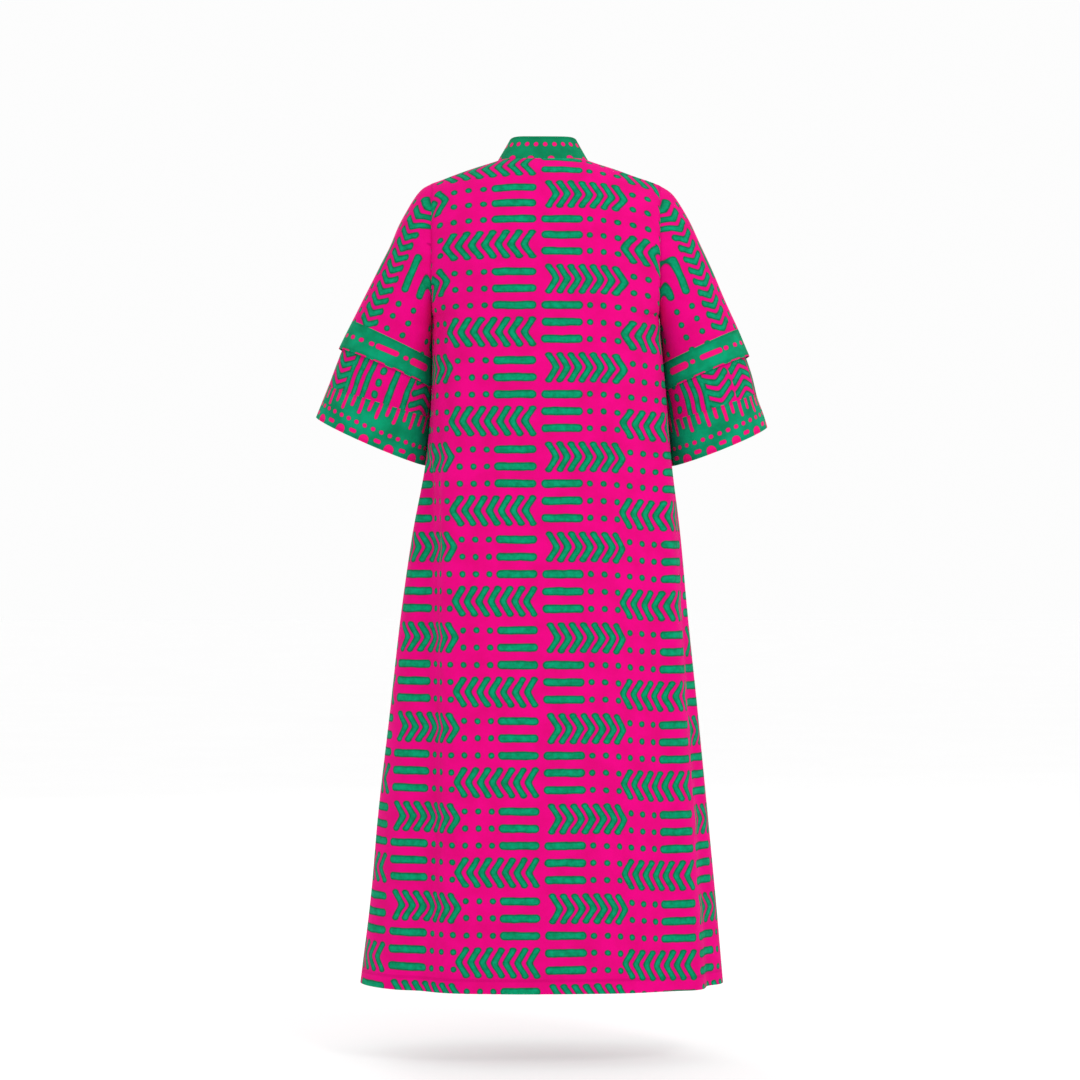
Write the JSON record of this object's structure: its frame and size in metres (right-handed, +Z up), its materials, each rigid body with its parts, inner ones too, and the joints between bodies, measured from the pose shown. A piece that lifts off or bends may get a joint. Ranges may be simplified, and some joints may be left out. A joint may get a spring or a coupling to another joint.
{
  "type": "kaftan",
  "caption": "Long flared kaftan as worn, hollow, with a stand collar, a short neck slit and bell sleeves in tiers with contrast border bands.",
  "frame": {"origin": "midway between the two points where the shoulder seams meet the neckline, where the shoulders hold the garment", "axes": "+Z up, the front faces -Y, the wearer's left is +X"},
  "size_m": [0.773, 0.3262, 1.4324],
  "materials": {
    "body_cotton": "plain-weave printed cotton, matt, pink with green motifs",
    "sleeve_cotton": "plain-weave printed cotton, matt, pink with green motifs",
    "band_cotton": "plain-weave printed cotton, matt, green with pink motifs",
    "collar_cotton": "doubled printed cotton, matt, green with pink dots"
  },
  "bodies": {
    "root": {"back_panel": "body_cotton", "front_panel": "body_cotton", "collar": "collar_cotton", "sleeve_left": "sleeve_cotton", "sleeve_right": "sleeve_cotton", "sleeve_band_left": "band_cotton", "sleeve_band_right": "band_cotton", "tier_left": "sleeve_cotton", "tier_right": "sleeve_cotton", "tier_band_left": "band_cotton", "tier_band_right": "band_cotton"}
  },
  "joints": []
}
